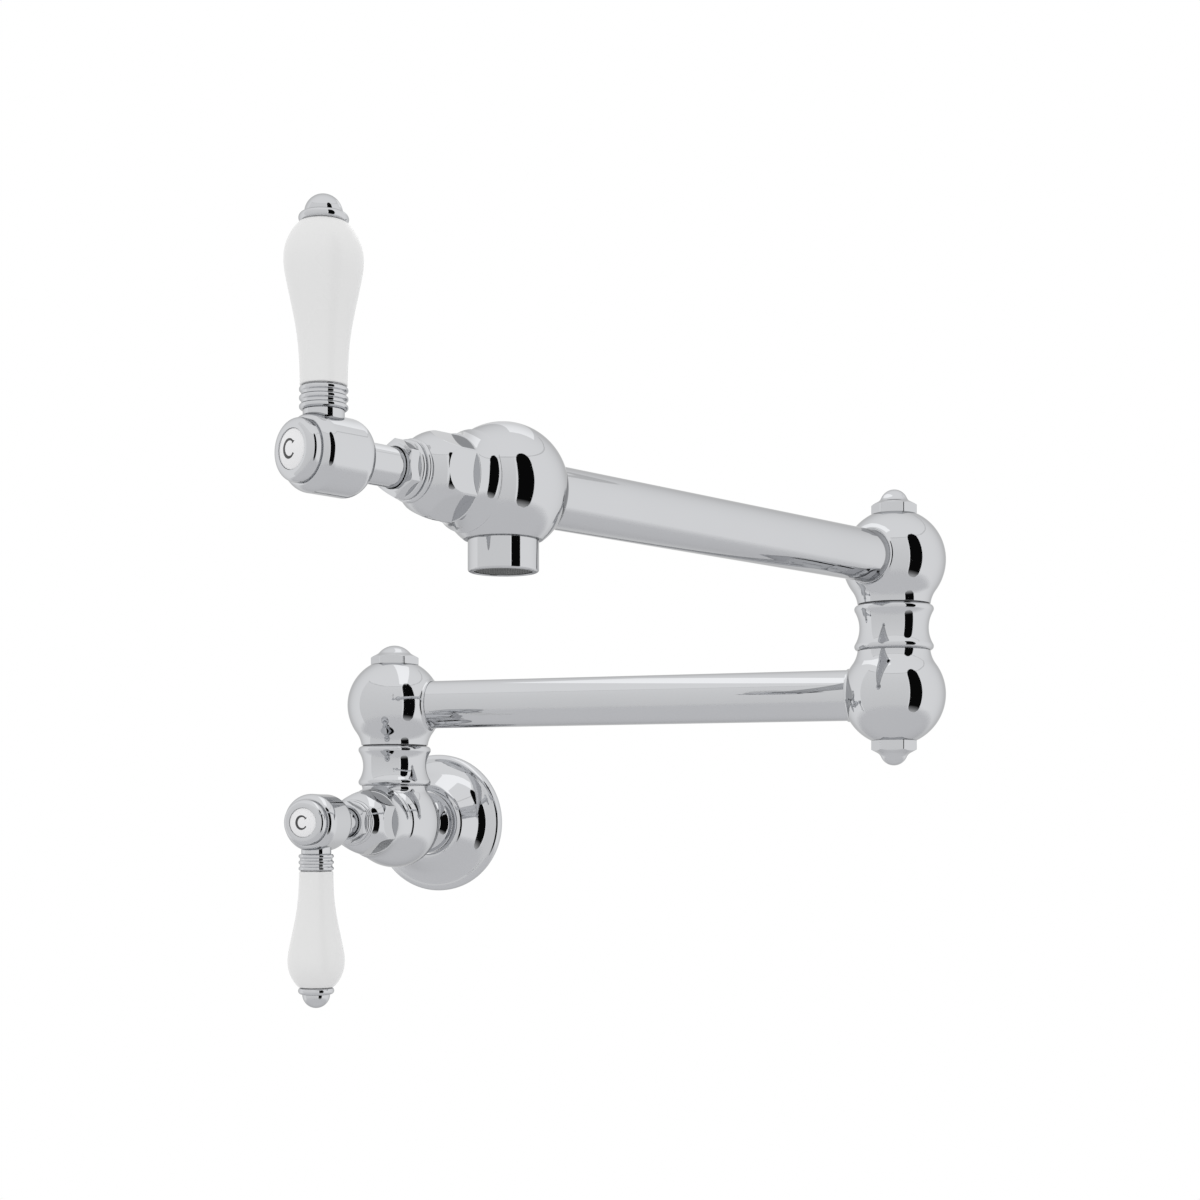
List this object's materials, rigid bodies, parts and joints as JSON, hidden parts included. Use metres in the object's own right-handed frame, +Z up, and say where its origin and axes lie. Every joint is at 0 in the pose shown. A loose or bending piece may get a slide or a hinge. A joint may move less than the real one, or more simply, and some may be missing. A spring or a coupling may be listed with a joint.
{
  "type": "pot filler",
  "caption": "Wall-mounted folding pot filler in polished chrome: a ball-shaped wall valve, jointed arms on swivel balls, a valve at the spout and porcelain quarter-turn levers.",
  "frame": {"origin": "where the inlet axis meets the wall plane", "axes": "+Z up, +Y into the wall along the inlet, +X along the lower arm at rest; the room is at -Y"},
  "size_m": [0.2906, 0.352, 0.2717],
  "materials": {
    "chrome": "polished",
    "brass": "machined",
    "steel": "machined",
    "porcelain": "glazed",
    "index_enamel": "glazed",
    "disc_ceramic": "lapped",
    "seal_rubber": "moulded",
    "glide_plastic": "moulded",
    "insert_plastic": "moulded"
  },
  "bodies": {
    "wall_valve": {"wall_flange": "chrome", "inlet_union": "chrome", "valve_body": "chrome", "swivel_collar": "chrome", "swivel_spigot": "brass", "swivel_o_rings": "seal_rubber", "swivel_glide": "glide_plastic", "swivel_retainer": "steel", "wall_bonnet": "chrome", "wall_packing_nut": "chrome", "wall_cartridge": "brass", "wall_fixed_disc": "disc_ceramic", "wall_seat_seal": "seal_rubber"},
    "wall_lever": {"wall_spindle": "brass", "wall_moving_disc": "disc_ceramic", "wall_spindle_o_ring": "seal_rubber", "wall_lever_hub": "chrome", "wall_hub_screw": "steel", "wall_index_button": "index_enamel", "wall_lever_ferrule": "chrome", "wall_grip": "porcelain", "wall_lever_rod": "steel", "wall_lever_finial": "chrome"},
    "lower_arm": {"swivel_ball": "chrome", "swivel_cap_nut": "chrome", "lower_tube": "chrome", "elbow_lower_ball": "chrome", "elbow_bottom_nut": "chrome", "elbow_collar": "chrome", "elbow_spigot": "brass", "elbow_o_rings": "seal_rubber", "elbow_glide": "glide_plastic", "elbow_retainer": "steel"},
    "upper_arm": {"elbow_upper_ball": "chrome", "elbow_top_nut": "chrome", "upper_tube": "chrome", "spout_ball": "chrome", "aerator_housing": "chrome", "aerator_insert": "insert_plastic", "aerator_gasket": "seal_rubber", "outlet_bonnet": "chrome", "outlet_packing_nut": "chrome", "outlet_cartridge": "brass", "outlet_fixed_disc": "disc_ceramic", "outlet_seat_seal": "seal_rubber"},
    "outlet_lever": {"outlet_spindle": "brass", "outlet_moving_disc": "disc_ceramic", "outlet_spindle_o_ring": "seal_rubber", "outlet_lever_hub": "chrome", "outlet_hub_screw": "steel", "outlet_index_button": "index_enamel", "outlet_lever_ferrule": "chrome", "outlet_grip": "porcelain", "outlet_lever_rod": "steel", "outlet_lever_finial": "chrome"}
  },
  "joints": [
    {"name": "arm_swivel", "type": "hinge", "parent": "wall_valve", "child": "lower_arm", "pos_m": [0, -0.052, 0.055], "axis": [0, 0, 1], "range_deg": [-180, 0]},
    {"name": "elbow_swivel", "type": "hinge", "parent": "lower_arm", "child": "upper_arm", "pos_m": [0.235, -0.052, 0.08375], "axis": [0, 0, 1], "range_deg": [-66, 293]},
    {"name": "wall_lever_turn", "type": "hinge", "parent": "wall_valve", "child": "wall_lever", "pos_m": [0, -0.052, 0], "axis": [0, -1, 0], "range_deg": [0, 90]},
    {"name": "outlet_lever_turn", "type": "hinge", "parent": "upper_arm", "child": "outlet_lever", "pos_m": [0.14017, -0.26702, 0.1125], "axis": [-0.4035, -0.915, 0], "range_deg": [0, 90]}
  ]
}
